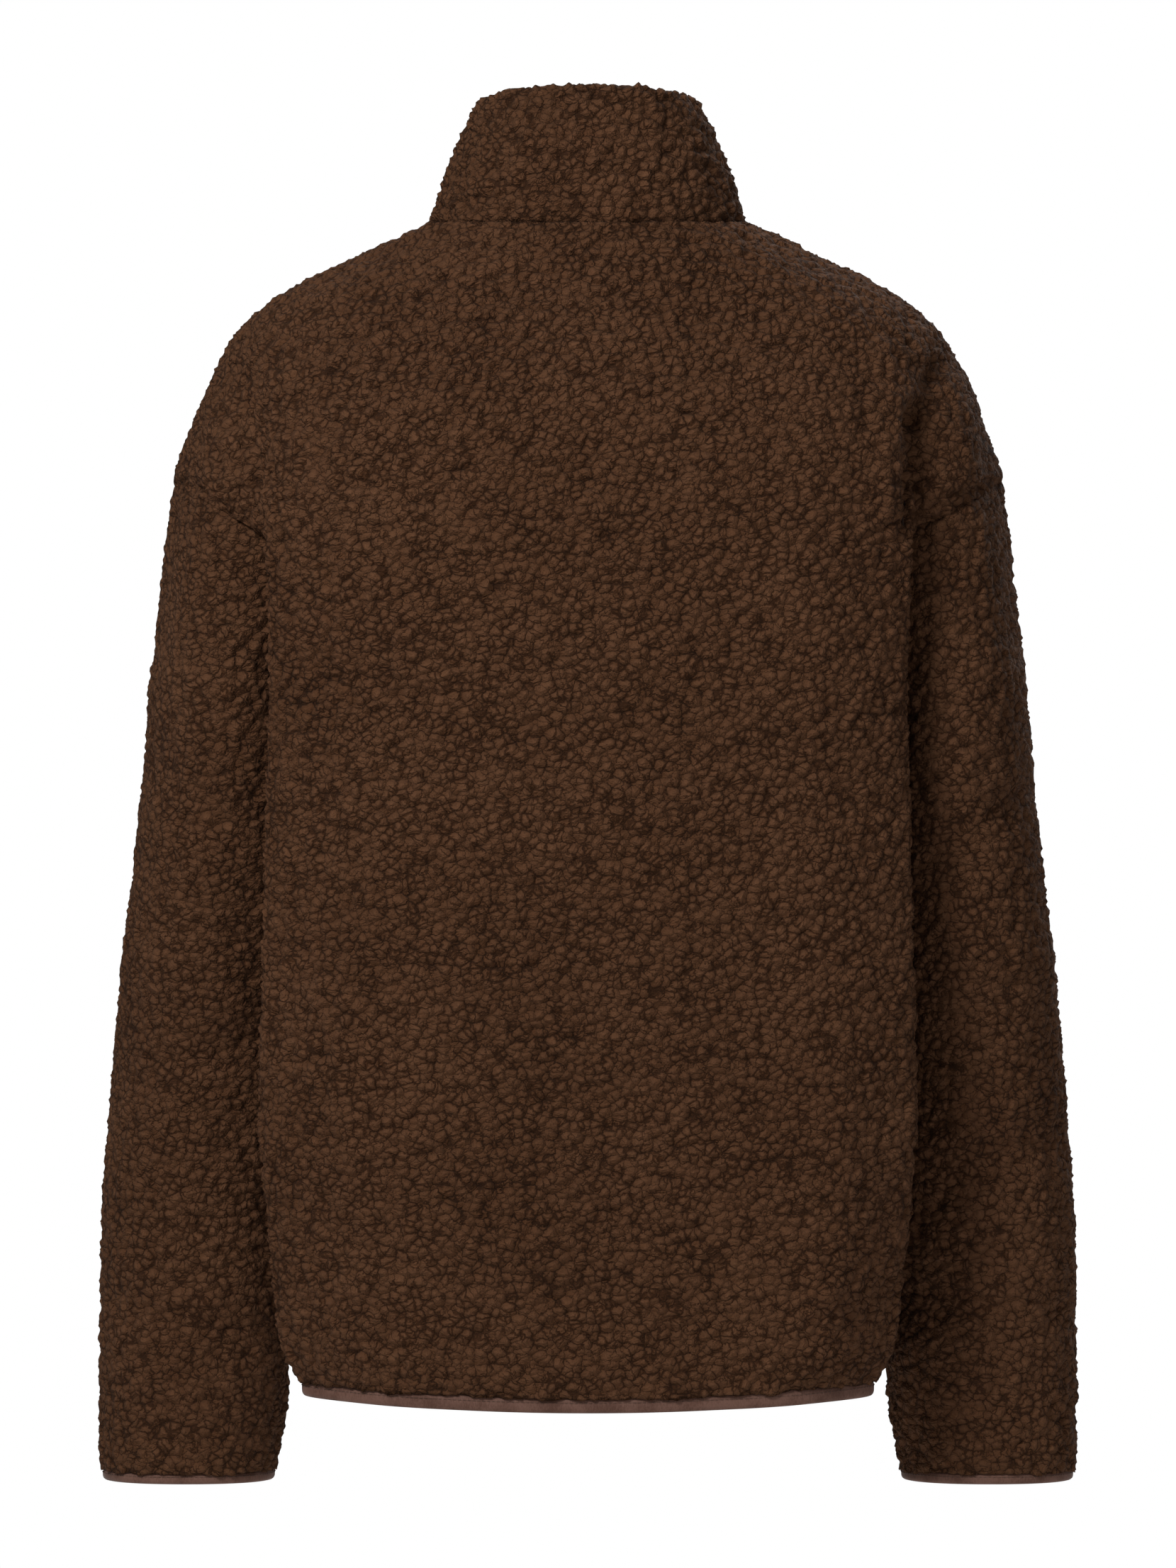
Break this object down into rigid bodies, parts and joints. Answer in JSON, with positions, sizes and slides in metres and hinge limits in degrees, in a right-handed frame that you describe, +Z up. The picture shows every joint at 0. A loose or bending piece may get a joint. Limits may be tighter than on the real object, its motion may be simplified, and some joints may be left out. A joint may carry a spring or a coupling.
{
  "type": "teddy jacket",
  "caption": "Short curly-pile jacket filled out as worn, with a standing collar, long dropped-shoulder sleeves, bound hem and cuffs, and a closed front zip.",
  "frame": {"origin": "middle of the neck opening, at the height of the seam between the back panel and the collar", "axes": "+Z up along the wearer, +Y the way the wearer faces (the zip side), +X the wearer's right; the back that the picture shows faces -Y"},
  "size_m": [0.537, 0.3108, 0.761],
  "materials": {
    "pile_cloth": "dark brown curly pile cloth, matte",
    "binding_cloth": "smooth reddish-brown stretch binding, matte",
    "zip_tape": "dark brown woven tape",
    "zip_teeth": "dark brown moulded teeth",
    "zip_metal": "dark bronze-coated metal, satin"
  },
  "bodies": {
    "garment": {"back": "pile_cloth", "front_left": "pile_cloth", "front_right": "pile_cloth", "sleeve_left": "pile_cloth", "sleeve_right": "pile_cloth", "collar": "pile_cloth", "hem_binding": "binding_cloth", "cuff_binding_left": "binding_cloth", "cuff_binding_right": "binding_cloth", "zip_tape_left": "zip_tape", "zip_tape_right": "zip_tape", "zip_chain": "zip_teeth", "zip_box": "zip_teeth", "zip_slider": "zip_metal"},
    "pull_tab": {"zip_pull": "zip_metal"}
  },
  "joints": [
    {"name": "pull_hinge", "type": "hinge", "parent": "garment", "child": "pull_tab", "pos_m": [0, 0.07252, 0.00794], "axis": [1, 0, 0], "range_deg": [0, 165]}
  ]
}
